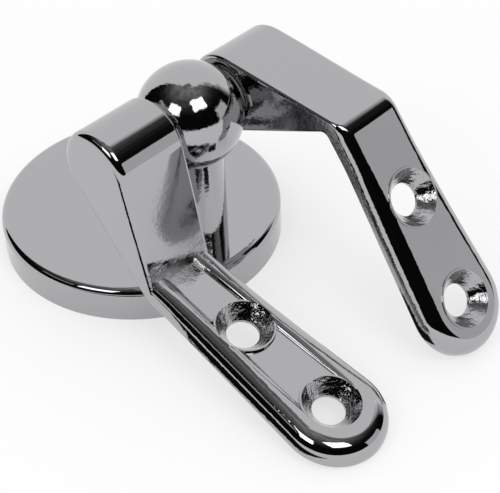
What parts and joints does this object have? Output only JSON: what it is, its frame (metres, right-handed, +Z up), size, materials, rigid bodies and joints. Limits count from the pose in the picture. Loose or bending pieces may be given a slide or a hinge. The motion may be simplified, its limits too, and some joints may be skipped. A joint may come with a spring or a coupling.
{
  "type": "toilet seat hinge",
  "caption": "Chromed toilet seat hinge: an eccentric round base with a ball-headed post, and a cranked lid arm and seat arm that turn on one pin through the ball.",
  "frame": {"origin": "centre of the base disc on its underside, on the axis of the fixing hole", "axes": "+Z up along the fixing hole, +X along the hinge pin from the lid arm to the seat arm, -Y from the disc's centre towards the post and the arms as they lie at rest"},
  "size_m": [0.05, 0.092, 0.0404],
  "materials": {
    "chromed_casting": "polished chrome plate on die-cast zinc",
    "plain_steel": "drawn bright steel",
    "nylon": "natural nylon"
  },
  "bodies": {
    "base": {"base_disc": "chromed_casting", "ball_post": "chromed_casting", "post_screw": "plain_steel", "hinge_pin": "plain_steel"},
    "lid": {"lid_arm": "chromed_casting", "lid_arm_bush": "nylon"},
    "seat": {"seat_arm": "chromed_casting", "seat_arm_bush": "nylon"}
  },
  "joints": [
    {"name": "lid_hinge", "type": "hinge", "parent": "base", "child": "lid", "pos_m": [0, -0.0147, 0.0315], "axis": [-1, 0, 0], "range_deg": [0, 194.12]},
    {"name": "seat_hinge", "type": "hinge", "parent": "base", "child": "seat", "pos_m": [0, -0.0147, 0.0315], "axis": [-1, 0, 0], "range_deg": [0, 232.1]}
  ]
}
